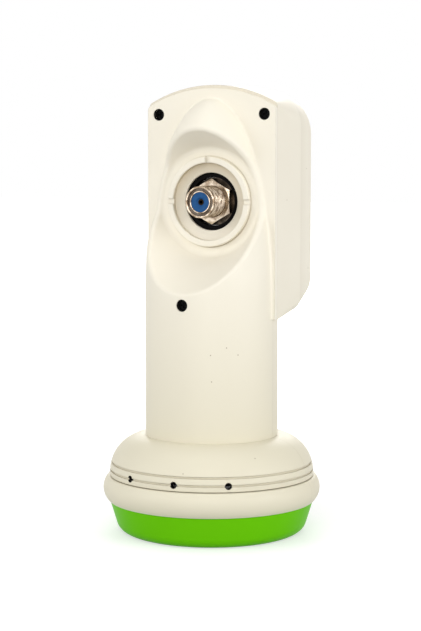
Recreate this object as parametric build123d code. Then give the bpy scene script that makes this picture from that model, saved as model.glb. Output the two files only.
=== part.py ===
from build123d import *
import os
from math import acos, cos, radians, sin, sqrt, tan

# Satellite LNB: a 40 mm neck feed with a two-part moulded cover, a green feed cap and an F connector.
# Millimetres. +Z runs up the neck from the feed cap, -Y is the connector side, and the origin is the
# centre of the cap's flat face, on the axis of the neck.

# Fits
slip = 0.15
seat_gap = 0.05
thread_gap = 0.03

# Neck and covers
neck_d = 40.0
neck_len = 35.6
cover_wall = 2.0
joint_y = 0.6

# Front plate and rear box
plate_ledge = 1.2
plate_edge = 1.2
plate_h = 63.0
plate_crown = 5.55
plate_corner_r = 1.5
plate_foot_r = 0.25
plate_lip = 1.2
plate_lip_w = 1.6
box_rise = 1.0
box_straight = 17.7
box_depth = 31.0
box_taper = 1.0
box_corner_r = 10.0
box_foot_r = 4.0
box_back_corner_r = 14.0
box_back_foot_r = 10.0
box_back_edge_r = 4.5
box_foot_lift = 1.15
box_back_lift = 1.75

# Bulge on the plate: a half spheroid that carries on the neck
bulge_drop = 27.5
bulge_len = 58.1
bulge_root_r = 0.9
bulge_steps = 8

# Scoop round the connector
connector_rise = 34.8
scoop_floor_y = -1.2
scoop_margin = 2.75
scoop_angle = 28.8
scoop_root_r = 2.0
scoop_rim_r = 1.2
scoop_reach = 14.0
connector_hole_gap = 1.5
funnel_ledge = 0.1
funnel_depth = 1.0

# Bell
bell_d = 61.8
bell_h = 12.1
bell_band_h = 1.0
skirt_step = 0.7
skirt_wall = 1.5
groove_rise = 1.7
groove_step = 2.3
groove_w = 0.6
groove_depth = 0.45
drain_hole_d = 2.0
drain_hole_pitch = 30.0
drain_hole_turn = 5.0

# Clamp ring
ring_h = 7.4
ring_foot_wall = 0.9
ring_crest_wall = 2.55
ring_crest_rise = 4.05
ring_top_wall = 1.15
ring_lip = 1.0
ring_gap = 0.25
ring_edge_r = 0.5

# Feed cap
cap_h = 9.65
cap_step = 0.3
cap_edge_r = 4.0
cap_side_slope = 17.0
cap_wall = 1.6
cap_skirt_wall = 1.4
cap_skirt_h = 5.5

# Feed horn and waveguide
horn_rim_rise = 0.95
horn_back_drop = 3.2
horn_flare = 3.5
choke_rim = 2.65
choke_w = 2.5
choke_land = 2.0
choke_depth = 7.5
guide_d = 18.0
guide_wall = 2.5
guide_end_margin = 3.2
guide_end_wall = 4.0
o_ring_section = 1.5
o_ring_drop = 3.1

# Electronics tray
tray_side_gap = 1.7
tray_foot_gap = 1.0
tray_top_gap = 1.6
tray_floor = 2.5
tray_wall = 2.0
tray_post_r = 2.6
lid_gasket_h = 0.5
lid_gasket_w = 1.4
lid_h = 1.5
lid_back_gap = 1.3

# Circuit board
board_stand = 6.5
board_h = 1.0
board_margin = 0.5
board_post_r = 1.8
tongue_w = 16.0
tongue_tail = 5.0
pad_margin = 1.5

# Pick-up pins
probe_d = 1.2
probe_back = 7.0
probe_pitch = 5.0
probe_straight_reach = 5.5
probe_bent_x = 5.0
probe_bent_arm = 4.4
probe_head = 0.6
bush_d = 4.0
isolation_pin_d = 1.2

# F connector
f_thread_d = 9.5
f_reach = 7.0
f_bore_d = 6.0
f_rim_chamfer = 0.5
f_relief_w = 0.5
f_relief_depth = 0.4
f_flange_wall = 1.75
f_flange_h = 2.0
f_nut_wall = 1.25
f_nut_h = 3.0
f_washer_wall = 2.45
f_washer_h = 0.5
f_insulator_set = 0.5
f_contact_d = 1.8
f_contact_bore_d = 1.1
f_contact_bore_depth = 7.0
gasket_lap = 2.05
gasket_h = 2.35

# Connector collar
collar_d = 27.0
collar_wall = 1.9
collar_h = 1.6
collar_edge_r = 0.35
collar_notch_w = 1.6
collar_notch_depth = 0.8

# Screws
cover_screw_d = 2.0
cover_screw_len = 8.0
cover_head_d = 3.3
cover_head_h = 1.1
cover_head_set = 1.5
cover_boss_d = 6.0
cover_pad_floor = 1.3
top_screw_inset = 3.7
top_screw_drop = 2.2
low_screw_drop = 29.8
low_boss_len = 2.8
lid_screw_d = 2.0
lid_screw_len = 6.0
lid_head_d = 3.8
lid_head_h = 1.2
board_screw_d = 1.6
board_screw_len = 4.0
board_head_d = 3.0
board_head_h = 0.9
recess_w = 0.5
recess_share = 0.6

# Parts on the board
puck_d = 5.8
puck_h = 2.4
puck_span = 16.0
puck_rise = 11.2
spacer_d = 3.0
spacer_h = 1.2
tuning_screw_d = 3.0
tuning_screw_gap = 1.5
transistor_size = 2.0
transistor_h = 1.1
chip_size = 6.0
chip_h = 1.2
regulator_w = 6.5
regulator_len = 9.0
regulator_h = 2.3
capacitor_d = 5.0
capacitor_h = 5.6

# Heights, from the cap up
ring_foot_z = cap_h + seat_gap
ring_top_z = ring_foot_z + ring_h
ring_crest_z = ring_foot_z + ring_crest_rise
skirt_bottom_z = ring_foot_z + ring_lip + seat_gap
cap_skirt_top_z = ring_foot_z + cap_skirt_h
o_ring_z = cap_skirt_top_z - o_ring_drop
bell_foot_z = ring_top_z + ring_gap
bell_top_z = bell_foot_z + bell_h
bell_band_z = bell_foot_z + bell_band_h
groove_z = bell_foot_z + groove_rise
plate_bottom_z = bell_top_z + neck_len
plate_corner_z = plate_bottom_z + plate_h
connector_z = plate_bottom_z + connector_rise
bulge_foot_z = connector_z - bulge_drop
low_screw_z = connector_z - low_screw_drop
top_screw_z = plate_corner_z - top_screw_drop
connector_axis = Axis((0, 0, connector_z), (0, 1, 0))

# Radii, from the covers in
neck_r = neck_d / 2
plate_w = neck_d + 2 * plate_ledge
skirt_r = bell_d / 2 - skirt_step
skirt_in_r = skirt_r - skirt_wall
ring_bore_r = skirt_r + slip
cap_top_r = ring_bore_r + ring_foot_wall - cap_step
cap_skirt_r = skirt_in_r - slip
cap_skirt_in_r = cap_skirt_r - cap_skirt_wall
cap_draft = tan(radians(cap_side_slope))
cap_foot_r = cap_top_r - cap_draft * cap_h
horn_r = cap_skirt_in_r - slip
horn_mouth_z = cap_wall + (cap_skirt_in_r - cap_foot_r + cap_wall) / cap_draft + slip
horn_rim_z = bell_foot_z + horn_rim_rise
horn_back_z = bell_top_z - horn_back_drop
guide_r = guide_d / 2
guide_out_r = guide_r + guide_wall
guide_end_z = low_screw_z + guide_end_margin
guide_short_z = guide_end_z - guide_end_wall
probe_straight_z = guide_short_z - probe_back
isolation_pin_z = probe_straight_z - probe_pitch
probe_bent_z = isolation_pin_z - probe_pitch
tongue_bottom_z = probe_bent_z - tongue_tail

# Depths and the tray, from the joint of the covers back
face_y = joint_y - plate_edge
lip_back_y = joint_y + plate_lip
top_seat_y = face_y + cover_head_set + cover_head_h
pillar_front_y = top_seat_y + cover_pad_floor + seat_gap
low_seat_y = -neck_r + cover_head_set + cover_head_h
low_boss_y = low_seat_y + low_boss_len
box_back_y = joint_y + box_depth
tray_front_y = joint_y + seat_gap + gasket_h
lid_back_y = box_back_y - cover_wall - lid_back_gap - lid_head_h
lid_front_y = lid_back_y - lid_h
tray_back_y = lid_front_y - lid_gasket_h
tray_w = plate_w - 2 * (cover_wall + tray_side_gap)
tray_bottom_z = plate_bottom_z + cover_wall + box_back_lift + tray_foot_gap
tray_top_z = top_screw_z - cover_boss_d / 2 - tray_top_gap
tray_corner_r = box_back_foot_r - cover_wall - tray_side_gap
post_inset = tray_corner_r - (tray_corner_r - tray_wall - tray_post_r / 2) / sqrt(2)
post_x = tray_w / 2 - post_inset
post_zs = (tray_bottom_z + post_inset, tray_top_z - post_inset)

# Board and connector
board_front_y = tray_front_y + tray_floor + board_stand
board_back_y = board_front_y + board_h
board_w = tray_w - 2 * (tray_wall + board_margin)
board_bottom_z = post_zs[0] + tray_post_r + board_margin
board_top_z = post_zs[1] - tray_post_r - board_margin
board_post_x = board_w / 2 - board_post_r
board_post_zs = (board_bottom_z + board_post_r, board_top_z - board_post_r)
puck_z = board_bottom_z + puck_rise
nut_front_y = tray_front_y - f_washer_h - f_nut_h
f_tip_y = scoop_floor_y - f_reach
f_washer_r = f_thread_d / 2 + f_washer_wall
connector_hole_r = f_washer_r + connector_hole_gap
gasket_r = connector_hole_r + gasket_lap
scoop_floor_r = collar_d / 2 + scoop_margin
funnel_r = collar_d / 2 - collar_wall - funnel_ledge


def block(x0, x1, y0, y1, z0, z1):
    """Box between two corners."""
    middle = ((x0 + x1) / 2, (y0 + y1) / 2, (z0 + z1) / 2)
    return Pos(*middle) * Box(x1 - x0, y1 - y0, z1 - z0)


def rod_y(radius, x, z, y0, y1):
    """Round bar along Y."""
    return Pos(x, (y0 + y1) / 2, z) * Rot(X=90) * Cylinder(radius, y1 - y0)


def rod_x(radius, y, z, x0, x1):
    """Round bar along X."""
    return Pos((x0 + x1) / 2, y, z) * Rot(Y=90) * Cylinder(radius, x1 - x0)


def rod_z(radius, z0, z1):
    """Round bar on the neck's axis."""
    return Pos(0, 0, (z0 + z1) / 2) * Cylinder(radius, z1 - z0)


def turned(*lines):
    """Solid turned about the neck's axis from lines given as radius and height."""
    return revolve(Plane.XZ * make_face(lines), Axis.Z)


def turned_y(points, fillet_at=None, fillet_r=0.0):
    """Solid turned about the connector's axis from points given as radius and Y."""
    face = make_face(Polyline(*points, close=True))
    if fillet_at is not None:
        corner = face.vertices().sort_by_distance(fillet_at)[0]
        face = fillet(corner, fillet_r)
    return revolve(Plane.XY.offset(connector_z) * face, connector_axis)


def between_y(y0, y1):
    """Everything between two Y planes."""
    reach = 2 * (plate_corner_z + plate_crown)
    return block(-reach, reach, y0, y1, -reach, reach)


def outline(y, inset=0.0, rise=0.0, corner_r=plate_corner_r, foot_r=plate_foot_r, lift=0.0):
    """Plate outline at one Y: straight sides, flat foot and an arched top, with rounded corners."""
    half = plate_w / 2 - inset
    low = plate_bottom_z + inset + lift
    shoulder = plate_corner_z + rise - inset
    crown = shoulder + plate_crown
    sides = Polyline((-half, shoulder), (-half, low), (half, low), (half, shoulder))
    arch = ThreePointArc((half, shoulder), (0, crown), (-half, shoulder))
    face = make_face([sides, arch])
    face = fillet(face.vertices().sort_by(Axis.Y)[-2:], corner_r)
    face = fillet(face.vertices().sort_by(Axis.Y)[:2], foot_r)
    return Plane.XZ.offset(-y) * face


def prism(y0, y1, inset=0.0, rise=0.0, corner_r=plate_corner_r):
    """Plate outline carried straight from one Y to another."""
    return extrude(outline(y0, inset, rise, corner_r), amount=-(y1 - y0))


def foot_shell(inset=0.0):
    """Turned bell and neck up to the foot of the bulge, or their hollow."""
    foot_r = skirt_r - (skirt_wall if inset else 0)
    bell_r = bell_d / 2 - inset
    tube_r = neck_r - inset
    top_z = bell_top_z - inset
    skirt = [(foot_r, skirt_bottom_z), (foot_r, bell_foot_z)]
    low = Polyline((0, skirt_bottom_z), *skirt, (bell_r, bell_foot_z), (bell_r, bell_band_z))
    shoulder = EllipticalCenterArc((tube_r, bell_band_z), bell_r - tube_r, top_z - bell_band_z, arc_size=90)
    side = Polyline((tube_r, top_z), (tube_r, bulge_foot_z), (0, bulge_foot_z), (0, skirt_bottom_z))
    return turned(low, shoulder, side)


def bulge(inset=0.0):
    """Half ellipse turned about the neck's axis, or its hollow; its tip ends inside the plate."""
    reach = bulge_len - inset
    radius = neck_r - inset
    end = acos(plate_edge / 4 / radius)
    turns = [end * k / bulge_steps for k in range(bulge_steps + 1)]
    points = [(radius * cos(t), bulge_foot_z + reach * sin(t)) for t in turns]
    nose = Spline(*points, tangents=[(0, 1), (-radius * sin(end), reach * cos(end))])
    legs = Polyline(points[-1], (0, points[-1][1]), (0, bulge_foot_z), points[0])
    return Rot(Z=90) * turned(nose, legs)


def scoop(thicken=0.0):
    """Cone that opens away from the connector, or the same cone with a wall's thickness round it."""
    slope = tan(radians(scoop_angle))
    floor_y = scoop_floor_y + thicken
    floor_r = scoop_floor_r + thicken / cos(radians(scoop_angle)) - slope * thicken
    mouth_y = -neck_r - scoop_reach
    mouth_r = floor_r + slope * (floor_y - mouth_y)
    corner = (floor_r, floor_y)
    points = [(0, floor_y), corner, (mouth_r, mouth_y), (0, mouth_y)]
    cone = turned_y(points, corner, scoop_root_r + thicken)
    return cone.rotate(connector_axis, 90)


def cover_screw_places():
    """Place of each cover screw: x, z and the Y of the seat under its head."""
    half = plate_w / 2 - top_screw_inset
    return [(-half, top_screw_z, top_seat_y), (half, top_screw_z, top_seat_y), (0, low_screw_z, low_seat_y)]


def bell_grooves():
    """Rings that cut the two grooves in the bell."""
    rings = []
    for z in (groove_z, groove_z + groove_step):
        rise = max(0, z - bell_band_z) / (bell_top_z - bell_band_z)
        surface_r = neck_r + (bell_d / 2 - neck_r) * sqrt(1 - rise**2)
        ring = rod_z(bell_d, z - groove_w / 2, z + groove_w / 2)
        rings.append(ring - rod_z(surface_r - groove_depth, z - groove_w, z + groove_w))
    return rings


def front_cover():
    plate = prism(face_y, joint_y)
    body = (bulge() & between_y(-bell_d, joint_y)) + plate
    body += foot_shell() & between_y(-bell_d, joint_y)
    body = fillet([e for e in body.edges() if on_bulge_root(e)], bulge_root_r)
    body -= scoop()
    body = fillet([e for e in body.edges() if on_scoop_rim(e)], scoop_rim_r)
    lip = prism(joint_y, lip_back_y, cover_wall + slip)
    lip -= prism(joint_y, lip_back_y, cover_wall + slip + plate_lip_w)
    body += lip
    body -= foot_shell(cover_wall) + bulge(cover_wall) - scoop(cover_wall)
    room = prism(joint_y / 2, pillar_front_y - seat_gap, cover_wall + slip)
    for x, z, seat_y in cover_screw_places():
        if z == low_screw_z:
            pad = rod_y(cover_boss_d / 2, x, z, -neck_r + cover_wall / 2, low_boss_y)
        else:
            pad = rod_y(cover_boss_d / 2, x, z, joint_y / 2, pillar_front_y - seat_gap) & room
        body += pad
        mouth_y = seat_y - cover_wall - cover_head_set - cover_head_h
        body -= rod_y(cover_head_d / 2 + slip, x, z, mouth_y, seat_y)
        body -= rod_y(cover_screw_d / 2 + slip, x, z, seat_y - seat_gap, seat_y + cover_screw_len)
    body -= turned_y(
        [
            (0, scoop_floor_y - seat_gap),
            (funnel_r, scoop_floor_y - seat_gap),
            (funnel_r, scoop_floor_y),
            (connector_hole_r, scoop_floor_y + funnel_depth),
            (connector_hole_r, lip_back_y),
            (0, lip_back_y),
        ]
    )
    for ring in bell_grooves():
        body -= ring
    for step in (-1, 0, 1):
        turn = drain_hole_turn + step * drain_hole_pitch
        drill = Pos(0, -bell_d / 2, groove_z) * Rot(X=90) * Cylinder(drain_hole_d / 2, 3 * cover_wall)
        body -= Rot(Z=turn) * drill
    return body


def on_bulge(point):
    """True for a point on the skin of the neck or the bulge."""
    rise = max(0, point.Z - bulge_foot_z) / bulge_len
    return abs(sqrt(point.X**2 + point.Y**2) - neck_r * sqrt(max(0, 1 - rise**2))) < seat_gap


def on_bulge_root(edge):
    """True for the edges where the bulge rises from the plate."""
    middle = edge @ 0.5
    return on_bulge(middle) and abs(middle.Y - face_y) < seat_gap


def on_scoop_rim(edge):
    """True for the edge where the scoop leaves the bulge."""
    middle = edge @ 0.5
    out = sqrt(middle.X**2 + (middle.Z - connector_z) ** 2)
    cone_r = scoop_floor_r + tan(radians(scoop_angle)) * (scoop_floor_y - middle.Y)
    return on_bulge(middle) and abs(out - cone_r) < seat_gap


def rear_box(inset=0.0):
    """Box behind the plate, or its hollow; its corners grow rounder towards the back."""
    straight_y = joint_y + box_straight
    rounds = (box_corner_r - inset, box_foot_r - inset)
    back_rounds = (box_back_corner_r - inset, box_back_foot_r - inset)
    front = outline(lip_back_y, inset, box_rise)
    side = outline(straight_y, inset, box_rise, *rounds, box_foot_lift)
    back = outline(box_back_y - inset, inset + box_taper, box_rise, *back_rounds, box_back_lift)
    box = prism(joint_y, lip_back_y, inset, box_rise)
    box += loft([front, side], ruled=True)
    return box + loft([side, back], ruled=True)


def rear_cover():
    body = rear_box()
    rear_edges = body.edges().filter_by(lambda e: abs((e @ 0.5).Y - box_back_y) < seat_gap)
    body = fillet(rear_edges, box_back_edge_r)
    outer_box = body
    low = foot_shell() & between_y(joint_y, bell_d)
    neck_top_z = plate_bottom_z + cover_wall + box_foot_lift
    low -= block(-bell_d, bell_d, -bell_d, bell_d, neck_top_z, plate_corner_z)
    body = outer_box + low
    inner_back = box_back_y - cover_wall
    body -= rear_box(cover_wall)
    body -= foot_shell(cover_wall) & between_y(joint_y, neck_d)
    for x, z, seat_y in cover_screw_places()[:2]:
        pillar = rod_y(cover_boss_d / 2, x, z, pillar_front_y, inner_back + cover_wall / 2) & outer_box
        tip_y = seat_y + cover_screw_len + seat_gap
        body += pillar
        body -= rod_y(cover_screw_d / 2 + thread_gap, x, z, pillar_front_y - seat_gap, tip_y)
    for ring in bell_grooves():
        body -= ring & between_y(joint_y, bell_d)
    return body


def clamp_ring():
    low_r = skirt_in_r + slip
    top = (ring_bore_r + ring_top_wall, ring_top_z)
    crest = (ring_bore_r + ring_crest_wall, ring_crest_z)
    foot = (ring_bore_r + ring_foot_wall, ring_foot_z)
    inner = Polyline(
        top,
        (ring_bore_r, ring_top_z),
        (ring_bore_r, ring_foot_z + ring_lip),
        (low_r, ring_foot_z + ring_lip),
        (low_r, ring_foot_z),
        foot,
    )
    face = make_face([inner, ThreePointArc(foot, crest, top)])
    corners = [face.vertices().sort_by_distance(place)[0] for place in (top, foot)]
    return revolve(Plane.XZ * fillet(corners, ring_edge_r), Axis.Z)


def feed_cap():
    outside = make_face(
        Polyline(
            (0, 0),
            (cap_foot_r, 0),
            (cap_top_r, cap_h),
            (cap_skirt_r, cap_h),
            (cap_skirt_r, cap_skirt_top_z),
            (0, cap_skirt_top_z),
            close=True,
        )
    )
    outside = fillet(outside.vertices().sort_by_distance((cap_foot_r, 0))[0], cap_edge_r)
    inside_foot_r = cap_foot_r - cap_wall
    inside = make_face(
        Polyline(
            (0, cap_wall),
            (inside_foot_r, cap_wall),
            (cap_skirt_in_r, cap_wall + (cap_skirt_in_r - inside_foot_r) / cap_draft),
            (cap_skirt_in_r, cap_skirt_top_z),
            (0, cap_skirt_top_z),
            close=True,
        )
    )
    inside = fillet(inside.vertices().sort_by_distance((inside_foot_r, cap_wall))[0], cap_edge_r - cap_wall)
    return revolve(Plane.XZ * (outside - inside), Axis.Z)


def cap_o_ring():
    middle_r = cap_skirt_in_r - seat_gap - o_ring_section / 2
    return Pos(0, 0, o_ring_z) * Torus(middle_r, o_ring_section / 2)


def diecast_body():
    horn = turned(
        Polyline(
            (0, horn_mouth_z),
            (horn_r, horn_mouth_z),
            (horn_r, horn_rim_z),
            (guide_out_r, horn_back_z),
            (guide_out_r, guide_end_z),
            (0, guide_end_z),
            close=True,
        )
    )
    body = horn
    pad_w = tongue_w + 2 * pad_margin
    pad_low = tongue_bottom_z - pad_margin
    body += block(-pad_w / 2, pad_w / 2, 0, board_front_y, pad_low, tray_bottom_z + tray_wall)
    body += tray_block(tray_front_y, tray_back_y)
    half = tray_w / 2 - tray_wall
    tray_low = tray_bottom_z + tray_wall
    tray_high = tray_top_z - tray_wall
    cavity = block(-half, half, tray_front_y + tray_floor, tray_back_y, tray_low, tray_high)
    posts = [rod_y(tray_post_r, x, z, tray_front_y, tray_back_y) for x in (-post_x, post_x) for z in post_zs]
    posts += [
        rod_y(board_post_r, x, z, tray_front_y, board_front_y)
        for x in (-board_post_x, board_post_x)
        for z in board_post_zs
    ]
    seat = block(-pad_w / 2, pad_w / 2, tray_front_y, board_front_y, tray_bottom_z, guide_end_z)
    cavity -= rod_z(guide_out_r, tray_bottom_z, guide_end_z)
    cavity -= seat
    for post in posts:
        cavity -= post
    body -= cavity
    slot = tongue_w / 2 + slip
    body -= block(-slot, slot, board_front_y, tray_back_y, tray_bottom_z - tray_wall, tray_low)
    body += rod_y(cover_boss_d / 2, 0, low_screw_z, low_boss_y + seat_gap, 0) & block(
        -tray_w, tray_w, -neck_r, 0, tray_bottom_z - cover_boss_d, guide_end_z
    )
    body -= rod_z(guide_r, horn_back_z - guide_wall, guide_short_z)
    body -= turned(
        Polyline(
            (0, horn_mouth_z),
            (guide_r + horn_flare, horn_mouth_z),
            (guide_r, horn_back_z),
            (0, horn_back_z),
            close=True,
        )
    )
    for k in range(2):
        outer_r = horn_r - choke_rim - k * (choke_w + choke_land)
        slot_ring = rod_z(outer_r, horn_mouth_z, horn_mouth_z + choke_depth)
        body -= slot_ring - rod_z(outer_r - choke_w, horn_mouth_z, horn_mouth_z + choke_depth)
    groove_half = o_ring_section / 2 + seat_gap
    groove = rod_z(horn_r + slip, o_ring_z - groove_half, o_ring_z + groove_half)
    groove_floor_r = cap_skirt_in_r - 2 * seat_gap - o_ring_section
    body -= groove - rod_z(groove_floor_r, o_ring_z - groove_half, o_ring_z + groove_half)
    floor_back_y = tray_front_y + tray_floor
    body -= rod_y(f_thread_d / 2 + slip, 0, connector_z, tray_front_y - slip, floor_back_y + slip)
    low_tip_y = low_seat_y + cover_screw_len + seat_gap
    body -= rod_y(cover_screw_d / 2 + thread_gap, 0, low_screw_z, low_boss_y, low_tip_y)
    for x, z in probe_places():
        body -= rod_y(bush_d / 2 + thread_gap, x, z, 0, board_front_y + seat_gap)
    pin_reach = guide_out_r + slip
    body -= rod_x(isolation_pin_d / 2 + thread_gap, 0, isolation_pin_z, -pin_reach, pin_reach)
    for x in (-post_x, post_x):
        for z in post_zs:
            tip_y = lid_back_y - lid_screw_len - seat_gap
            body -= rod_y(lid_screw_d / 2 + thread_gap, x, z, tip_y, tray_back_y + slip)
    for x in (-board_post_x, board_post_x):
        for z in board_post_zs:
            tip_y = board_back_y - board_screw_len - seat_gap
            body -= rod_y(board_screw_d / 2 + thread_gap, x, z, tip_y, board_front_y + slip)
    return body


def probe_places():
    """x and z of the straight and the bent pick-up pin."""
    return [(0, probe_straight_z), (probe_bent_x, probe_bent_z)]


def tray_block(y0, y1):
    """Outside of the tray between two Y planes."""
    body = block(-tray_w / 2, tray_w / 2, y0, y1, tray_bottom_z, tray_top_z)
    return fillet(body.edges().filter_by(Axis.Y), tray_corner_r)


def lid_gasket():
    frame = tray_block(tray_back_y, lid_front_y)
    return frame - gasket_window(0)


def shield_lid():
    lid = tray_block(lid_front_y, lid_back_y)
    for x in (-post_x, post_x):
        for z in post_zs:
            lid += rod_y(tray_post_r, x, z, tray_back_y, lid_front_y) & gasket_window(slip)
            lid -= rod_y(lid_screw_d / 2 + slip, x, z, tray_back_y - slip, lid_back_y + slip)
    for x in (-puck_span / 2, puck_span / 2):
        lid -= rod_y(tuning_screw_d / 2 + thread_gap, x, puck_z, lid_front_y - slip, lid_back_y + slip)
    return lid


def gasket_window(gap):
    """Space inside the lid's gasket, less a gap all round."""
    edge = lid_gasket_w + gap
    half = tray_w / 2 - edge
    window = block(-half, half, tray_back_y, lid_front_y, tray_bottom_z + edge, tray_top_z - edge)
    return fillet(window.edges().filter_by(Axis.Y), tray_corner_r - edge)


def screw(diameter, length, head_d, head_h, x, z, seat_y, out):
    """Cross-recessed screw along Y; out is -1 where its head faces -Y and 1 where it faces +Y."""
    tip_y = seat_y - out * length
    top_y = seat_y + out * head_h
    shank = rod_y(diameter / 2, x, z, min(seat_y, tip_y), max(seat_y, tip_y))
    head = rod_y(head_d / 2, x, z, min(seat_y, top_y), max(seat_y, top_y))
    floor_y = top_y - out * head_h * recess_share
    y0, y1 = min(floor_y, top_y), max(floor_y, top_y)
    arm = head_d / 2 * recess_share
    cross = block(x - arm, x + arm, y0, y1, z - recess_w / 2, z + recess_w / 2)
    cross += block(x - recess_w / 2, x + recess_w / 2, y0, y1, z - arm, z + arm)
    return shank + head - cross


def cover_screws():
    size = (cover_screw_d, cover_screw_len, cover_head_d, cover_head_h)
    return [screw(*size, x, z, y, -1) for x, z, y in cover_screw_places()]


def lid_screws():
    places = [(x, z) for x in (-post_x, post_x) for z in post_zs]
    size = (lid_screw_d, lid_screw_len, lid_head_d, lid_head_h)
    return [screw(*size, x, z, lid_back_y, 1) for x, z in places]


def board_screws():
    places = [(x, z) for x in (-board_post_x, board_post_x) for z in board_post_zs]
    size = (board_screw_d, board_screw_len, board_head_d, board_head_h)
    return [screw(*size, x, z, board_back_y, 1) for x, z in places]


def circuit_board():
    board = block(-board_w / 2, board_w / 2, board_front_y, board_back_y, board_bottom_z, board_top_z)
    board += block(-tongue_w / 2, tongue_w / 2, board_front_y, board_back_y, tongue_bottom_z, board_bottom_z)
    for x in (-board_post_x, board_post_x):
        for z in board_post_zs:
            board -= rod_y(board_screw_d / 2 + slip, x, z, board_front_y - slip, board_back_y + slip)
    for x, z in probe_places():
        board -= rod_y(probe_d / 2 + thread_gap, x, z, board_front_y - slip, board_back_y + slip)
    board -= rod_y(f_contact_d / 2 + thread_gap, 0, connector_z, board_front_y - slip, board_back_y + slip)
    return board


def probe_straight():
    tip_y = guide_r - probe_straight_reach
    return rod_y(probe_d / 2, 0, probe_straight_z, tip_y, board_back_y + probe_head)


def probe_bent():
    x, z = probe_places()[1]
    stem = rod_y(probe_d / 2, x, z, 0, board_back_y + probe_head)
    arm = rod_x(probe_d / 2, 0, z, x - probe_bent_arm, x)
    return stem + arm + Pos(x, 0, z) * Sphere(probe_d / 2)


def probe_bushes():
    bushes = []
    for x, z in probe_places():
        wall_y = sqrt(guide_r**2 - (abs(x) + bush_d / 2) ** 2)
        bush = rod_y(bush_d / 2, x, z, wall_y, board_front_y - seat_gap)
        bush -= rod_z(guide_r, z - bush_d, z + bush_d)
        bushes.append(bush - rod_y(probe_d / 2 + thread_gap, x, z, 0, board_front_y))
    return bushes


def isolation_pin():
    return rod_x(isolation_pin_d / 2, 0, isolation_pin_z, -guide_out_r, guide_out_r)


def f_connector_shell():
    thread_r = f_thread_d / 2
    flange_y = tray_front_y + tray_floor + seat_gap
    back_y = flange_y + f_flange_h
    relief_r = thread_r - f_relief_depth
    relief_y = nut_front_y - seat_gap
    return turned_y(
        [
            (f_bore_d / 2, f_tip_y),
            (thread_r - f_rim_chamfer, f_tip_y),
            (thread_r, f_tip_y + f_rim_chamfer),
            (thread_r, relief_y - f_relief_w),
            (relief_r, relief_y - f_relief_w),
            (relief_r, relief_y),
            (thread_r, relief_y),
            (thread_r, flange_y),
            (thread_r + f_flange_wall, flange_y),
            (thread_r + f_flange_wall, back_y),
            (f_bore_d / 2, back_y),
        ]
    )


def f_connector_insulator():
    back_y = tray_front_y + tray_floor + seat_gap + f_flange_h
    front_y = f_tip_y + f_insulator_set
    return turned_y(
        [
            (f_contact_d / 2 + thread_gap, front_y + f_rim_chamfer),
            (f_contact_d / 2 + thread_gap + f_rim_chamfer, front_y),
            (f_bore_d / 2 - thread_gap, front_y),
            (f_bore_d / 2 - thread_gap, back_y),
            (f_contact_d / 2 + thread_gap, back_y),
        ]
    )


def f_connector_contact():
    front_y = f_tip_y + f_insulator_set + f_rim_chamfer
    contact = rod_y(f_contact_d / 2, 0, connector_z, front_y, board_back_y + probe_head)
    return contact - rod_y(f_contact_bore_d / 2, 0, connector_z, front_y, front_y + f_contact_bore_depth)


def f_connector_nut():
    flat_r = f_thread_d / 2 + f_nut_wall
    corner_r = flat_r / cos(radians(30))
    hexagon = RegularPolygon(corner_r, 6, rotation=30)
    body = extrude(Plane.XZ.offset(-nut_front_y) * (Pos(0, connector_z) * hexagon), amount=-f_nut_h)
    rounding = turned_y(
        [
            (0, nut_front_y),
            (flat_r, nut_front_y),
            (corner_r + slip, nut_front_y + (corner_r + slip - flat_r) * tan(radians(30))),
            (corner_r + slip, nut_front_y + f_nut_h),
            (0, nut_front_y + f_nut_h),
        ]
    )
    hole = rod_y(f_thread_d / 2 + thread_gap, 0, connector_z, nut_front_y - slip, tray_front_y)
    return (body & rounding) - hole


def f_connector_washer():
    front_y = tray_front_y - f_washer_h
    disc = rod_y(f_washer_r, 0, connector_z, front_y, tray_front_y)
    return disc - rod_y(f_thread_d / 2 + slip, 0, connector_z, front_y - slip, tray_front_y + slip)


def connector_gasket():
    front_y = joint_y + seat_gap
    disc = rod_y(gasket_r, 0, connector_z, front_y, tray_front_y)
    return disc - rod_y(f_washer_r + slip, 0, connector_z, front_y - slip, tray_front_y + slip)


def connector_collar():
    outer_r = collar_d / 2
    inner_r = outer_r - collar_wall
    front_y = scoop_floor_y - collar_h
    ring = turned_y(
        [
            (inner_r, scoop_floor_y),
            (inner_r, front_y),
            (outer_r, front_y),
            (outer_r, scoop_floor_y),
        ]
    )
    ring = fillet(ring.edges().filter_by(lambda e: abs((e @ 0.5).Y - front_y) < seat_gap), collar_edge_r)
    for turn in (0, 90, 270):
        place = Pos(0, 0, connector_z) * Rot(Y=turn)
        notch = Box(collar_notch_w, 2 * collar_notch_depth, 2 * collar_wall)
        ring -= place * Pos(0, front_y, outer_r - collar_wall / 2) * notch
    return ring


def puck_places():
    """x of the two ceramic pucks."""
    return (-puck_span / 2, puck_span / 2)


def puck_spacers():
    return [rod_y(spacer_d / 2, x, puck_z, board_back_y, board_back_y + spacer_h) for x in puck_places()]


def resonator_pucks():
    low_y = board_back_y + spacer_h
    return [rod_y(puck_d / 2, x, puck_z, low_y, low_y + puck_h) for x in puck_places()]


def tuning_screws():
    tip_y = board_back_y + spacer_h + puck_h + tuning_screw_gap
    length = lid_back_y - tip_y
    return [
        screw(tuning_screw_d, length, lid_head_d, lid_head_h, x, puck_z, lid_back_y, 1)
        for x in puck_places()
    ]


def on_board(x, z, width, height, depth):
    """Flat package soldered to the back of the board."""
    package = Pos(x, board_back_y + depth / 2, z) * Box(width, depth, height)
    return fillet(package.edges().filter_by(Axis.Y), width / 20)


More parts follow.
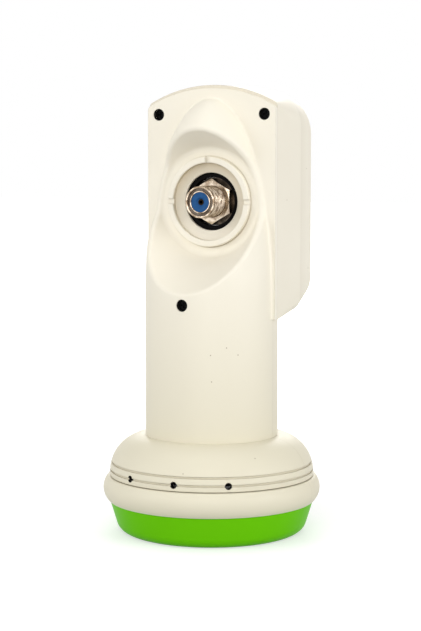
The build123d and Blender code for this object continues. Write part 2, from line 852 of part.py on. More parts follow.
def amplifier_transistors():
    near = 2 * transistor_size
    places = [(-near, probe_straight_z), (-near, probe_bent_z), (0, board_bottom_z)]
    return [on_board(x, z, transistor_size, transistor_size, transistor_h) for x, z in places]


def mixer_chip():
    return on_board(0, puck_z, chip_size, chip_size, chip_h)


def voltage_regulator():
    x = board_post_x - board_head_d / 2 - regulator_w / 2 - board_margin
    return on_board(-x, connector_z, regulator_w, regulator_len, regulator_h)


def smoothing_capacitor():
    x = board_post_x - board_head_d / 2 - capacitor_d / 2 - board_margin
    can = rod_y(capacitor_d / 2, x, connector_z, board_back_y, board_back_y + capacitor_h)
    return fillet(can.edges(), capacitor_d / 20)


def write(name, shape):
    """One file for each piece; like pieces share one."""
    solids = shape if isinstance(shape, list) else [shape]
    found = [solid for item in solids for solid in item.solids()]
    export_step(Compound(children=found) if len(found) > 1 else found[0], f"parts/{name}.step")


PIECES = [
    front_cover,
    rear_cover,
    clamp_ring,
    feed_cap,
    cap_o_ring,
    cover_screws,
    diecast_body,
    lid_gasket,
    shield_lid,
    lid_screws,
    circuit_board,
    board_screws,
    probe_straight,
    probe_bent,
    probe_bushes,
    isolation_pin,
    f_connector_shell,
    f_connector_insulator,
    f_connector_contact,
    f_connector_nut,
    f_connector_washer,
    connector_gasket,
    connector_collar,
    resonator_pucks,
    puck_spacers,
    tuning_screws,
    amplifier_transistors,
    mixer_chip,
    voltage_regulator,
    smoothing_capacitor,
]

os.makedirs("parts", exist_ok=True)
for piece in PIECES:
    write(piece.__name__, piece())
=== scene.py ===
import math

import bpy
import numpy as np
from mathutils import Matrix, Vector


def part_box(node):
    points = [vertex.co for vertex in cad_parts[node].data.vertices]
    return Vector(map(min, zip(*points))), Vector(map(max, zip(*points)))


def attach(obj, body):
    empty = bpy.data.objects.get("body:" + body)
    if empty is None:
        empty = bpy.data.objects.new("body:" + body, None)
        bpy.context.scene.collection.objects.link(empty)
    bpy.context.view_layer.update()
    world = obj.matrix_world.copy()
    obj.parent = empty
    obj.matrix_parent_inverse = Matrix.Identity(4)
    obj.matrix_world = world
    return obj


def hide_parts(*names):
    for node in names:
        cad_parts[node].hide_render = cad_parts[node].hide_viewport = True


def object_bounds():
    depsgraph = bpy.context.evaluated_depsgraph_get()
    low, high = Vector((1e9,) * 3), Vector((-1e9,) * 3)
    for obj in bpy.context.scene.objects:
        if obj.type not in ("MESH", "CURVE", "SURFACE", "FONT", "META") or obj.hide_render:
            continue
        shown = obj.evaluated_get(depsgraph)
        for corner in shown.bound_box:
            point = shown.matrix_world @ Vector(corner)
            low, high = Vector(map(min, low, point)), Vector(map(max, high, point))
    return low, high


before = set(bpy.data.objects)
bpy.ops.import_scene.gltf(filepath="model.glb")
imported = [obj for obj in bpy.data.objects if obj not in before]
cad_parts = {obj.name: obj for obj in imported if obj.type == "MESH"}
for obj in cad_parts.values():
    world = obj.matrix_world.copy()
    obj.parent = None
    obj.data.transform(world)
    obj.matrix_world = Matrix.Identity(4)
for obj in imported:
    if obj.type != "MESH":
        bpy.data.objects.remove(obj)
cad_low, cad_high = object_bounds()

# Die-cast body: horn, waveguide and electronics tray in one aluminium casting.
# It is cast in a steel die, left as cast, and sealed inside the two covers.

MM = 0.001


def add_node(tree, kind, inputs=(), **settings):
    """One shader node: settings are its own options, inputs its sockets with a value or a source socket."""
    made = tree.nodes.new(kind)
    for key, value in settings.items():
        setattr(made, key, value)
    for socket, value in dict(inputs).items():
        if isinstance(value, bpy.types.NodeSocket):
            tree.links.new(value, made.inputs[socket])
        else:
            made.inputs[socket].default_value = value
    return made


def new_finish(name):
    """Empty node material: returns it with its tree, its shader and the piece's own coordinates in metres."""
    finish = bpy.data.materials.new(name)
    finish.use_nodes = True
    tree = finish.node_tree
    shader = tree.nodes["Principled BSDF"]
    place = add_node(tree, "ShaderNodeTexCoord").outputs["Object"]
    return finish, tree, shader, place


def ramp(tree, value, start, end, first, last):
    """Number that runs from first to last as the value runs from start to end, and stays there beyond."""
    ends = {"Value": value, "From Min": start, "From Max": end, "To Min": first, "To Max": last}
    return add_node(tree, "ShaderNodeMapRange", ends).outputs["Result"]


def stain(tree, base, amount, colour):
    """The base, a colour or a source socket, with a colour laid over it by the amount, 0 to 1."""
    if not isinstance(base, bpy.types.NodeSocket):
        base = (*base, 1)
    sides = {"Factor": amount, "A": base, "B": (*colour, 1)}
    return add_node(tree, "ShaderNodeMix", sides, data_type="RGBA").outputs["Result"]


def grain(tree, place, size, detail=3.0):
    """Noise with grains of the given size in metres, 0 to 1."""
    made = add_node(tree, "ShaderNodeTexNoise", {"Vector": place, "Scale": 1 / size, "Detail": detail})
    return made.outputs["Fac"]


def raise_skin(tree, shader, height, depth, edge_r=0.0):
    """Bump of the given depth in metres under the shader, over edges that look rounded to the radius."""
    edge_samples = 4
    bump = {"Height": height, "Distance": depth}
    if edge_r:
        rounded = add_node(tree, "ShaderNodeBevel", {"Radius": edge_r}, samples=edge_samples)
        bump["Normal"] = rounded.outputs["Normal"]
    made = add_node(tree, "ShaderNodeBump", bump)
    tree.links.new(made.outputs["Normal"], shader.inputs["Normal"])


def patchy_finish(name, dark, light, rough, rough_swing, patch, grains_in_patch, skin):
    """Two tones in soft patches, roughness that follows them, and a fine skin; gives finish and shader."""
    finish, tree, shader, place = new_finish(name)
    patches = grain(tree, place, patch)
    roughness = ramp(tree, patches, 0, 1, rough - rough_swing, rough + rough_swing)
    tree.links.new(stain(tree, dark, patches, light), shader.inputs["Base Color"])
    tree.links.new(roughness, shader.inputs["Roughness"])
    raise_skin(tree, shader, grain(tree, place, patch / grains_in_patch), skin)
    return finish, shader


def metal_finish(name, **look):
    """Bare metal in patches, with a wide swing of roughness."""
    finish, shader = patchy_finish(name, rough_swing=0.08, grains_in_patch=6, **look)
    shader.inputs["Metallic"].default_value = 1.0
    return finish


def dress(finish, *nodes):
    """Puts one finish on nodes of the frame."""
    for node in nodes:
        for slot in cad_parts[node].material_slots:
            slot.material = finish


cast_alloy = metal_finish(
    "cast_alloy",
    dark=(0.46, 0.46, 0.47),
    light=(0.66, 0.66, 0.66),
    rough=0.48,
    patch=3 * MM,
    skin=0.05 * MM,
)
dress(cast_alloy, "diecast_body")

# Seals: the ring in the horn's groove, the gasket under the lid and the seat round the connector.
# Black rubber, moulded, with a dull skin; each is squeezed between its two neighbours.


def soft_finish(name, gloss, **look):
    """Plastic or rubber in patches, with a small swing of roughness and its own gloss."""
    finish, shader = patchy_finish(name, rough_swing=0.06, grains_in_patch=8, **look)
    shader.inputs["Specular IOR Level"].default_value = gloss
    return finish


black_rubber = soft_finish(
    "black_rubber",
    dark=(0.002, 0.002, 0.002),
    light=(0.005, 0.004, 0.004),
    rough=0.62,
    patch=2 * MM,
    skin=0.03 * MM,
    gloss=0.04,
)
dress(black_rubber, "cap_o_ring", "lid_gasket", "connector_gasket")

# Pick-up pins and the rod between them: drawn brass wire and a steel rod across the waveguide.
# The pins are pressed through white bushes and soldered to the board.

brass = metal_finish(
    "brass",
    dark=(0.62, 0.43, 0.17),
    light=(0.78, 0.58, 0.28),
    rough=0.28,
    patch=1.5 * MM,
    skin=0.01 * MM,
)
white_plastic = soft_finish(
    "white_plastic",
    dark=(0.76, 0.76, 0.73),
    light=(0.84, 0.84, 0.82),
    rough=0.45,
    patch=2 * MM,
    skin=0.01 * MM,
    gloss=0.5,
)
bright_steel = metal_finish(
    "bright_steel",
    dark=(0.48, 0.48, 0.47),
    light=(0.62, 0.62, 0.60),
    rough=0.3,
    patch=1.5 * MM,
    skin=0.01 * MM,
)
dress(brass, "probe_straight", "probe_bent")
dress(white_plastic, "probe_bushes")
dress(bright_steel, "isolation_pin")

# Circuit board with its parts: glass-fibre board under green solder resist, moulded chips,
# a drawn can and two fired ceramic pucks on spacers, all soldered or glued to its back.

green_board = soft_finish(
    "green_board",
    dark=(0.02, 0.12, 0.045),
    light=(0.04, 0.19, 0.08),
    rough=0.4,
    patch=4 * MM,
    skin=0.02 * MM,
    gloss=0.5,
)
chip_plastic = soft_finish(
    "chip_plastic",
    dark=(0.015, 0.015, 0.016),
    light=(0.03, 0.03, 0.03),
    rough=0.5,
    patch=0.8 * MM,
    skin=0.01 * MM,
    gloss=0.5,
)
puck_ceramic = soft_finish(
    "puck_ceramic",
    dark=(0.70, 0.62, 0.50),
    light=(0.80, 0.72, 0.60),
    rough=0.55,
    patch=1 * MM,
    skin=0.02 * MM,
    gloss=0.5,
)
capacitor_can = metal_finish(
    "capacitor_can",
    dark=(0.62, 0.62, 0.62),
    light=(0.74, 0.74, 0.74),
    rough=0.3,
    patch=2 * MM,
    skin=0.01 * MM,
)
dress(green_board, "circuit_board")
dress(chip_plastic, "amplifier_transistors", "mixer_chip", "voltage_regulator")
dress(capacitor_can, "smoothing_capacitor")
dress(puck_ceramic, "resonator_pucks")
dress(white_plastic, "puck_spacers")
dress(bright_steel, "board_screws")

# Lid of the tray with its screws: pressed aluminium sheet held by four plated steel screws,
# and two brass tuning screws above the pucks.

sheet_alloy = metal_finish(
    "sheet_alloy",
    dark=(0.56, 0.56, 0.57),
    light=(0.70, 0.70, 0.70),
    rough=0.36,
    patch=6 * MM,
    skin=0.01 * MM,
)
dress(sheet_alloy, "shield_lid")
dress(bright_steel, "lid_screws")
dress(brass, "tuning_screws")

# F connector barrel: turned and threaded brass under warm nickel plate, with a flange at the back.
# It is pushed through the casting from inside and pulled tight by the nut.
# Its tip has a rounded rim, a recessed ring and a fine bead round the insulator.

barrel_low, barrel_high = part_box("f_connector_shell")
connector_z = (barrel_low[2] + barrel_high[2]) / 2
tip_y = barrel_low[1]
thread_end_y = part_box("f_connector_nut")[1][1]
flange_h = 2.0 * MM
flange_back_y = barrel_high[1]
flange_front_y = flange_back_y - flange_h
flange_r = (barrel_high[0] - barrel_low[0]) / 2
inch = 25.4 * MM
threads_in_inch = 32
thread_r = 4.75 * MM
thread_pitch = inch / threads_in_inch
thread_depth = 0.36 * MM
# Amounts of shade painted into the thread roots and into the recess at the tip.
thread_shade = 0.6
bore_r = 3.0 * MM
bead_r = 0.16 * MM
bead_drop = 0.15 * MM
rim_bead_r = 0.3 * MM
recess_drop = 0.6 * MM
recess_shade = 0.85
bead_points = 9
rows_in_pitch = 12
barrel_columns = 160
sharp_turn = math.radians(40)


def half_bead(middle_r, middle_y, size):
    """Half circle of radius and depth that bulges towards the tip, from its inner to its outer side."""
    angle = np.linspace(np.pi, 2 * np.pi, bead_points)
    return np.stack([middle_r + size * np.cos(angle), middle_y + size * np.sin(angle)], axis=-1)


def threaded_barrel():
    """Closed profile of radius and depth turned about the connector's axis: bore, bead, recess, rim, thread
    and flange. In the thread the radius drops by a rounded tooth, a raised cosine wave, that climbs one pitch
    a turn, right-handed, and grows from nothing at either end.
    Gives the grid of points and how much painted shade each point has."""
    bead = half_bead(bore_r + bead_r, tip_y + bead_drop + bead_r, bead_r)
    rim = half_bead(thread_r - rim_bead_r, tip_y + rim_bead_r, rim_bead_r)
    recess_y = tip_y + recess_drop
    recess = np.array([(bore_r + 2 * bead_r, recess_y), (thread_r - 2 * rim_bead_r, recess_y)])
    thread_start_y = tip_y + 2 * rim_bead_r
    rows = int(rows_in_pitch * (thread_end_y - thread_start_y) / thread_pitch)
    thread = np.stack([np.full(rows, thread_r), np.linspace(thread_start_y, thread_end_y, rows)], axis=-1)
    flange = np.array([(thread_r, flange_front_y), (flange_r, flange_front_y), (flange_r, flange_back_y)])
    bore = np.array([(bore_r, flange_back_y)])
    runs = [bore, bead, recess, rim, thread, flange]
    counts = [len(points) for points in runs]
    in_recess = np.repeat([0, 0, 1, 0, 0, 0], counts)[:, None]
    in_thread = np.repeat([0, 0, 0, 0, 1, 0], counts)[:, None]
    radius, depth = np.split(np.concatenate(runs), 2, axis=1)
    turn = np.linspace(0, 2 * np.pi, barrel_columns, endpoint=False)
    climb = (depth - tip_y) / thread_pitch + turn / (2 * np.pi)
    from_end = np.minimum(depth - thread_start_y, thread_end_y - depth)
    grown = np.clip(from_end / thread_pitch, 0, 1)
    tooth = in_thread * grown * (1 - np.cos(2 * np.pi * climb)) / 2
    radius = radius - thread_depth * tooth
    shade = thread_shade * tooth + recess_shade * in_recess
    x = radius * np.cos(turn)
    z = connector_z + radius * np.sin(turn)
    return np.stack([x, np.broadcast_to(depth, x.shape), z], axis=-1), shade


def closed_mesh(name, points):
    """Mesh of quads over a grid of points that closes on itself along its rows and its columns."""
    index = np.arange(points.shape[0] * points.shape[1]).reshape(points.shape[:2])
    next_row = np.roll(index, -1, axis=0)
    corners = [index, next_row, np.roll(next_row, -1, axis=1), np.roll(index, -1, axis=1)]
    quads = np.stack([corner.ravel() for corner in corners], axis=-1)
    mesh = bpy.data.meshes.new(name)
    mesh.from_pydata(points.reshape(-1, 3).tolist(), [], quads.tolist())
    mesh.shade_smooth()
    mesh.set_sharp_from_angle(angle=sharp_turn)
    return mesh


def nickel_finish(name, bright, dull, patch):
    """Warm nickel over turned brass: rings from the tool along the axis, dull patches, painted shade in the
    thread roots and the tip's recess where the mesh has a shade, and edges that are slightly rounded."""
    # Colour of the painted shade in the thread roots and the recess.
    root_painted_shade = (0.05, 0.038, 0.03)
    patch_detail = 5.0
    dull_from = 0.42
    dull_full = 0.6
    rough_bright = 0.12
    rough_dull = 0.34
    rings_in_metre = 9000.0
    ring_depth = 0.004 * MM
    worn_edge_r = 0.15 * MM
    finish, tree, shader, place = new_finish(name)
    along = add_node(tree, "ShaderNodeSeparateXYZ", {0: place}).outputs["Y"]
    tool = {"W": along, "Scale": rings_in_metre}
    rings = add_node(tree, "ShaderNodeTexNoise", tool, noise_dimensions="1D").outputs["Fac"]
    patches = grain(tree, place, patch, detail=patch_detail)
    plate = stain(tree, bright, ramp(tree, patches, dull_from, dull_full, 0, 1), dull)
    root = add_node(tree, "ShaderNodeAttribute", attribute_name="shade").outputs["Fac"]
    shader.inputs["Metallic"].default_value = 1.0
    tree.links.new(stain(tree, plate, root, root_painted_shade), shader.inputs["Base Color"])
    tree.links.new(ramp(tree, patches, 0, 1, rough_bright, rough_dull), shader.inputs["Roughness"])
    raise_skin(tree, shader, rings, ring_depth, edge_r=worn_edge_r)
    return finish


nickel_plate = nickel_finish(
    "nickel_plate", bright=(0.68, 0.57, 0.45), dull=(0.25, 0.18, 0.12), patch=1.4 * MM
)
barrel_points, barrel_shade = threaded_barrel()
barrel_mesh = closed_mesh("f_barrel", barrel_points)
barrel_mesh.attributes.new("shade", "FLOAT", "POINT").data.foreach_set("value", barrel_shade.ravel())
barrel_mesh.materials.append(nickel_plate)
barrel = bpy.data.objects.new("f_barrel", barrel_mesh)
bpy.context.collection.objects.link(barrel)
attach(barrel, "root")
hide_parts("f_connector_shell")

# Nut and washer of the connector: turned brass under the same nickel plate, duller in larger patches.
# The nut is screwed on from the front and draws the flange against the casting;
# the washer behind it is plated near black.

nut_plate = nickel_finish("nut_plate", bright=(0.69, 0.59, 0.47), dull=(0.33, 0.25, 0.18), patch=2.5 * MM)
dark_plate = nickel_finish("dark_plate", bright=(0.09, 0.075, 0.06), dull=(0.03, 0.025, 0.02), patch=2 * MM)
dress(nut_plate, "f_connector_nut")
dress(dark_plate, "f_connector_washer")

# Insulator and contact of the connector: a blue moulded plug pressed into the barrel,
# with a sprung contact tube of brass in the middle, coloured near black as painted shade deep in the plug.

blue_plastic = soft_finish(
    "blue_plastic",
    dark=(0.010, 0.060, 0.18),
    light=(0.020, 0.100, 0.27),
    rough=0.4,
    patch=1.5 * MM,
    skin=0.01 * MM,
    gloss=0.12,
)
# Near-black brass: painted shade on the contact deep in the plug.
brass_painted_shade = metal_finish(
    "brass_painted_shade",
    dark=(0.008, 0.005, 0.003),
    light=(0.03, 0.02, 0.01),
    rough=0.5,
    patch=0.6 * MM,
    skin=0.01 * MM,
)
dress(blue_plastic, "f_connector_insulator")
dress(brass_painted_shade, "f_connector_contact")

# Covers, collar and clamp ring: moulded in cream plastic with a fine spark-eroded skin, with painted shade
# that makes them darker and yellower at the foot.
# The two half shells meet just behind the neck's axis and close on the casting with three screws;
# the ring snaps round the foot of the bell, and the collar stands in the scoop round the connector.

cream_pale = (0.87, 0.825, 0.71)
cream_deep = (0.83, 0.78, 0.66)
cream_patch = 25 * MM
cream_gloss = 0.35
cream_rough_low = 0.44
cream_rough_high = 0.58
rough_patch = 4 * MM
skin_grain = 0.4 * MM
skin_detail = 2.0
skin_depth = 0.008 * MM
cover_edge_r = 0.3 * MM

# Painted shade that makes the tone darker and yellower towards the foot, and a painted highlight on the edge
# of the plate at the head.
cream_foot_shade = (0.73, 0.685, 0.54)
foot_low_z = 28 * MM
foot_high_z = 80 * MM
cream_edge_highlight = (0.95, 0.915, 0.82)
head_mid_z = 100 * MM
head_half = 35.5 * MM
plate_half = 0.55 * MM
edge_highlight_amount = 0.45
edge_fade = 1 * MM

# Scoop round the connector: painted shade in its dish and in the corner outside its collar.
scoop_y_mm = -1.0
scoop_half_depth = 6 * MM
scoop_r = 18 * MM
cream_dish_shade = (0.60, 0.50, 0.33)
dish_in_r = 8.5 * MM
dish_half_depth = 1.7 * MM
dish_in_shade = 0.35
dish_out_shade = 0.85
dish_foot_share = 0.15
collar_in_r = 11.6 * MM
collar_out_r = 13.5 * MM
collar_line = 0.45 * MM
collar_foot_shade = 0.9
collar_top_shade = 0.4

# Painted shade in corners and behind the rear box's ridge; dirt on the parting line and in single specks.
dirt_and_shade_brown = (0.27, 0.195, 0.105)
corner_reach = 2.5 * MM
corner_samples = 8
corner_closed = 0.2
corner_open = 0.6
corner_painted_shade = 0.4
parting_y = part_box("rear_cover")[0][1]
parting_half = 0.03 * MM
parting_fade = 0.08 * MM
parting_dirt = 0.22
ridge_y = 18.3 * MM
ridge_fade = 6 * MM
ridge_painted_shade = 0.1
speck_r = 0.22 * MM
speck_dirt = 0.8
specks_mm = [
    (8.73, -17.98, 47.91),
    (12.45, -15.64, 57.83),
    (8.46, -18.11, 55.69),
    (15.0, -13.2, 55.65),
    (22.13, -16.68, 26.17),
    (5.27, -29.61, 22.42),
    (21.2, 7.96, 100.36),
    (20.77, 24.03, 109.58),
    (20.64, 25.81, 78.85),
    (21.05, 13.24, 67.78),
]

# Painted shade on the walls of the three screw bores and the three drain holes.
bore_shade_black = (0.012, 0.01, 0.008)
screw_bore_r = 1.86 * MM
screw_bore_half = 4.0 * MM
screw_bores_mm = [(-17.5, 3.6, 125.85), (17.5, 3.6, 125.85), (0.0, -15.6, 70.05)]
drain_bore_r = 1.04 * MM
drain_bore_half = 0.95 * MM
drain_out_mm = 29.9
drain_z_mm = 19.05
drain_turns = np.radians((-25, 5, 35))


def number(tree, operation, *inputs):
    """Result of one sum on numbers or sockets."""
    return add_node(tree, "ShaderNodeMath", dict(enumerate(inputs)), operation=operation).outputs[0]


def within(tree, value, middle, half):
    """1 where the value lies no further than half from the middle, else 0."""
    return number(tree, "COMPARE", value, middle, half)


def off_axis(tree, place, point_mm, axis):
    """Distance from the axis through a point, and distance along it from that point."""
    kind = "ShaderNodeVectorMath"
    point = tuple(MM * part for part in point_mm)
    offset = add_node(tree, kind, {0: place, 1: point}, operation="SUBTRACT").outputs[0]
    across = add_node(tree, kind, {0: offset, 1: axis}, operation="CROSS_PRODUCT").outputs[0]
    away = add_node(tree, kind, {0: across}, operation="LENGTH").outputs["Value"]
    along = add_node(tree, kind, {0: offset, 1: axis}, operation="DOT_PRODUCT").outputs["Value"]
    return away, along


def in_bore(tree, place, point_mm, axis, radius, half):
    """1 inside a cylinder round the axis, half its length to either side of the point, else 0."""
    away, along = off_axis(tree, place, point_mm, axis)
    return number(tree, "MULTIPLY", within(tree, away, 0, radius), within(tree, along, 0, half))


def bore_shade(tree, place):
    """1 on the walls of the screw bores and the drain holes below the skin, where shade is painted, else 0.
    """
    bores = []
    for point in screw_bores_mm:
        bores.append(in_bore(tree, place, point, (0, 1, 0), screw_bore_r, screw_bore_half))
    for turn in drain_turns:
        axis = (math.sin(turn), -math.cos(turn), 0)
        point = (drain_out_mm * axis[0], drain_out_mm * axis[1], drain_z_mm)
        bores.append(in_bore(tree, place, point, axis, drain_bore_r, drain_bore_half))
    shade = bores[0]
    for bore in bores[1:]:
        shade = number(tree, "MAXIMUM", shade, bore)
    return shade


def dish_shade(tree, away, along, height):
    """Amount of painted shade in the dish round the connector: most at its outer edge and its top."""
    deep = within(tree, along, 0, dish_half_depth)
    in_dish = number(tree, "MULTIPLY", within(tree, away, 0, collar_in_r), deep)
    foot_z = connector_z - collar_in_r
    outward = ramp(tree, away, dish_in_r, collar_in_r, dish_in_shade, dish_out_shade)
    upward = ramp(tree, height, foot_z, foot_z + 2 * collar_in_r, dish_foot_share, 1)
    return number(tree, "MULTIPLY", in_dish, number(tree, "MULTIPLY", outward, upward))


def edge_highlight(tree, away, on_head, depth):
    """Amount of painted highlight on the plate's narrow edge; none inside the scoop."""
    on_edge = number(tree, "MULTIPLY", on_head, within(tree, depth, 0, plate_half))
    fading = ramp(tree, away, scoop_r, scoop_r + edge_fade, 0, edge_highlight_amount)
    return number(tree, "MULTIPLY", on_edge, fading)


def collar_shade(tree, away, along, height):
    """Amount of painted shade in the corner between the collar and the scoop: a thin ring, darkest at its
    foot.
    """
    in_scoop = within(tree, along, 0, scoop_half_depth)
    outside = number(tree, "MULTIPLY", in_scoop, number(tree, "GREATER_THAN", away, collar_out_r))
    foot_z = connector_z - collar_out_r
    downward = ramp(tree, height, foot_z, foot_z + 2 * collar_out_r, collar_foot_shade, collar_top_shade)
    fading = ramp(tree, away, collar_out_r, collar_out_r + collar_line, 1, 0)
    return number(tree, "MULTIPLY", outside, number(tree, "MULTIPLY", downward, fading))


def ridge_shade(tree, on_head, depth):
    """Amount of painted shade on the rear box behind its ridge, fading backwards."""
    behind = number(tree, "GREATER_THAN", depth, ridge_y)
    fading = ramp(tree, depth, ridge_y, ridge_y + ridge_fade, ridge_painted_shade, 0)
    return number(tree, "MULTIPLY", on_head, number(tree, "MULTIPLY", behind, fading))


def corner_shade(tree, depth):
    """Amount of painted shade in corners, where little of the surroundings is seen, and of dirt on the
    parting line.
    """
    reach = {"Distance": corner_reach}
    seen = add_node(tree, "ShaderNodeAmbientOcclusion", reach, samples=corner_samples)
    corner = ramp(tree, seen.outputs["AO"], corner_closed, corner_open, corner_painted_shade, 0)
    off_line = number(tree, "ABSOLUTE", number(tree, "SUBTRACT", depth, parting_y))
    parting = ramp(tree, off_line, parting_half, parting_half + parting_fade, parting_dirt, 0)
    return number(tree, "MAXIMUM", corner, parting)


def speck_shade(tree, place):
    """Amount of dirt in the small specks, round spots with a soft edge."""
    dirt_and_shade = 0.0
    for speck in specks_mm:
        spot = {0: place, 1: tuple(MM * part for part in speck)}
        away = add_node(tree, "ShaderNodeVectorMath", spot, operation="DISTANCE").outputs["Value"]
        dirt_and_shade = number(tree, "MAXIMUM", dirt_and_shade, ramp(tree, away, speck_r / 2, speck_r, speck_dirt, 0))
    return dirt_and_shade


def cream_finish():
    """Cream plastic: slow change of tone, painted shade darker and yellower at the foot, a painted highlight
    on the plate's edge, painted shade in the dish, corners, bores, behind the ridge and round the collar,
    dirt on the parting line and in specks, uneven roughness, softened edges and a fine grain in the skin."""
    finish, tree, shader, place = new_finish("cream_plastic")
    parts = add_node(tree, "ShaderNodeSeparateXYZ", {0: place}).outputs
    depth, height = parts["Y"], parts["Z"]
    away, along = off_axis(tree, place, (0, scoop_y_mm, connector_z / MM), (0, 1, 0))
    on_head = within(tree, height, head_mid_z, head_half)
    # Amount of painted shade in corners, behind the ridge and round the collar, together with dirt on the
    # parting line and in specks.
    dirt_and_shade = number(tree, "MAXIMUM", corner_shade(tree, depth), speck_shade(tree, place))
    dirt_and_shade = number(tree, "MAXIMUM", dirt_and_shade, ridge_shade(tree, on_head, depth))
    dirt_and_shade = number(tree, "MAXIMUM", dirt_and_shade, collar_shade(tree, away, along, height))
    tone = stain(tree, cream_deep, grain(tree, place, cream_patch), cream_pale)
    # Painted shade: darker and yellower towards the foot.
    tone = stain(tree, tone, ramp(tree, height, foot_low_z, foot_high_z, 1, 0), cream_foot_shade)
    # Painted highlight on the plate's narrow edge.
    tone = stain(tree, tone, edge_highlight(tree, away, on_head, depth), cream_edge_highlight)
    # Painted shade in the dish round the connector.
    tone = stain(tree, tone, dish_shade(tree, away, along, height), cream_dish_shade)
    # Brown laid on by that amount, as painted shade and as dirt.
    tone = stain(tree, tone, dirt_and_shade, dirt_and_shade_brown)
    # Painted shade on the walls of the bores.
    tone = stain(tree, tone, bore_shade(tree, place), bore_shade_black)
    roughness = ramp(tree, grain(tree, place, rough_patch), 0, 1, cream_rough_low, cream_rough_high)
    skin = grain(tree, place, skin_grain, detail=skin_detail)
    shader.inputs["Specular IOR Level"].default_value = cream_gloss
    tree.links.new(tone, shader.inputs["Base Color"])
    tree.links.new(roughness, shader.inputs["Roughness"])
    raise_skin(tree, shader, skin, skin_depth, edge_r=cover_edge_r)
    return finish


dress(cream_finish(), "rear_cover", "front_cover", "connector_collar", "clamp_ring")

# Cover screws: cross-headed screws of blackened steel.
# They are set deep in their bores and draw the two covers together.

blackened_steel = metal_finish(
    "blackened_steel",
    dark=(0.004, 0.004, 0.004),
    light=(0.012, 0.012, 0.012),
    rough=0.5,
    patch=1 * MM,
    skin=0.01 * MM,
)
dress(blackened_steel, "cover_screws")

# Feed cap: bright green polypropylene, moulded thin so that it passes the signal.
# It is pressed into the skirt of the covers over the horn, and the object stands on it.

green_plastic = soft_finish(
    "green_plastic",
    dark=(0.13, 0.52, 0.002),
    light=(0.145, 0.57, 0.003),
    rough=0.4,
    patch=12 * MM,
    skin=0.01 * MM,
    gloss=0.04,
)
dress(green_plastic, "feed_cap")

# Studio: a white floor that keeps the object's shadow, a white surround and five large soft lamps.
# Floor and surround look white to the camera and in reflections; only their plain part lights the object.

floor_half = 3.0
floor_grey = (0.62, 0.62, 0.62, 1)
floor_rough = 0.9
glow_near = 0.08
glow_far = 0.45
glow_low = 0.52
sky_plain = 0.33
white = (1, 1, 1, 1)
corner_signs = np.array([(-1, -1), (1, -1), (1, 1), (-1, 1)])
floor_corners = np.concatenate([corner_signs * floor_half, np.full((4, 1), cad_low[2])], axis=1)
floor_mesh = bpy.data.meshes.new("floor")
floor_mesh.from_pydata(floor_corners.tolist(), [], [(0, 1, 2, 3)])
floor = bpy.data.objects.new("floor", floor_mesh)
bpy.context.collection.objects.link(floor)


def seen_rays(tree):
    """1 for rays from the camera and for those that a reflection or a clear piece sends on, else 0."""
    rays = add_node(tree, "ShaderNodeLightPath").outputs
    seen = number(tree, "MAXIMUM", rays["Is Camera Ray"], rays["Is Glossy Ray"])
    return number(tree, "MAXIMUM", seen, rays["Is Transmission Ray"])


floor_white, floor_tree, floor_shader, floor_place = new_finish("floor_white")
floor_shader.inputs["Base Color"].default_value = floor_grey
floor_shader.inputs["Roughness"].default_value = floor_rough
floor_shader.inputs["Specular IOR Level"].default_value = 0.0
floor_shader.inputs["Emission Color"].default_value = white
far_off = add_node(floor_tree, "ShaderNodeVectorMath", {0: floor_place}, operation="LENGTH").outputs["Value"]
glow = ramp(floor_tree, far_off, glow_near, glow_far, glow_low, 1.0)
shown = number(floor_tree, "MULTIPLY", seen_rays(floor_tree), glow)
floor_tree.links.new(shown, floor_shader.inputs["Emission Strength"])
floor_mesh.materials.append(floor_white)

world = bpy.data.worlds.new("studio")
bpy.context.scene.world = world
world.use_nodes = True
sky_tree = world.node_tree
sky = sky_tree.nodes["Background"]
sky.inputs["Color"].default_value = white
sky_tree.links.new(ramp(sky_tree, seen_rays(sky_tree), 0, 1, sky_plain, 1.0), sky.inputs["Strength"])


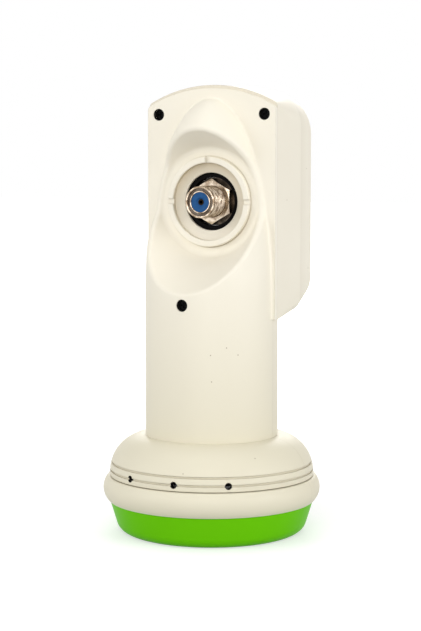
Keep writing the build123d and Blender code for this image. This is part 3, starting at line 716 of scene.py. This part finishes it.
def aim(thing, eye, target):
    """Places a lamp or camera at the eye so that it looks at the target with +Z up.
    The object's matrix is filled column by column: right, up, away from the target, and the eye."""
    away = np.array(eye) - np.array(target)
    away = away / np.linalg.norm(away)
    right = np.cross((0, 0, 1), away)
    right = right / np.linalg.norm(right)
    turn = np.eye(4)
    turn[:3] = np.stack([right, np.cross(away, right), away, eye], axis=-1)
    thing.matrix_world = turn.T.tolist()


def soft_lamp(name, eye, width, power):
    """Square area lamp, width in metres and power in watts, that looks at the middle of the object."""
    data = bpy.data.lights.new(name, "AREA")
    data.size = width
    data.energy = power
    lamp = bpy.data.objects.new(name, data)
    bpy.context.collection.objects.link(lamp)
    aim(lamp, eye, (0, 0, (cad_low[2] + cad_high[2]) / 2))


soft_lamp("front_lamp", eye=(0.25, -0.78, 0.36), width=0.5, power=2.7)
soft_lamp("top_lamp", eye=(-0.05, -0.1, 0.8), width=0.5, power=1.0)
soft_lamp("left_lamp", eye=(-0.75, -0.75, 0.42), width=0.6, power=3.9)
soft_lamp("right_lamp", eye=(1.0, -0.12, 0.35), width=0.6, power=4.9)
soft_lamp("back_lamp", eye=(-0.4, 1.0, 0.5), width=0.6, power=5.5)

# Camera: at the photograph's angle, a little above the object and turned towards the connector's right.
# Its lens and distance give the photograph's scale, and it looks straight along its own axis.

view_turn = math.radians(25.97)
view_rise = math.radians(5.55)
view_far = 0.5183
aim_z = 0.06545
picture_px = (421, 631)
focal_px = 1714.9
axis_px = 211.6
sensor_mm = 36.0
side = np.array([math.cos(view_turn), math.sin(view_turn), 0])
back = np.array(
    [
        math.sin(view_turn) * math.cos(view_rise),
        -math.cos(view_turn) * math.cos(view_rise),
        math.sin(view_rise),
    ]
)
aim_point = np.array([0, 0, aim_z]) - side * (axis_px - picture_px[0] / 2) / focal_px * view_far
camera_data = bpy.data.cameras.new("photo_camera")
camera_data.sensor_width = sensor_mm
camera_data.lens = focal_px / picture_px[1] * sensor_mm
camera = bpy.data.objects.new("photo_camera", camera_data)
bpy.context.collection.objects.link(camera)
aim(camera, aim_point + back * view_far, aim_point)
bpy.context.scene.camera = camera
bpy.context.scene.view_settings.view_transform = "Standard"
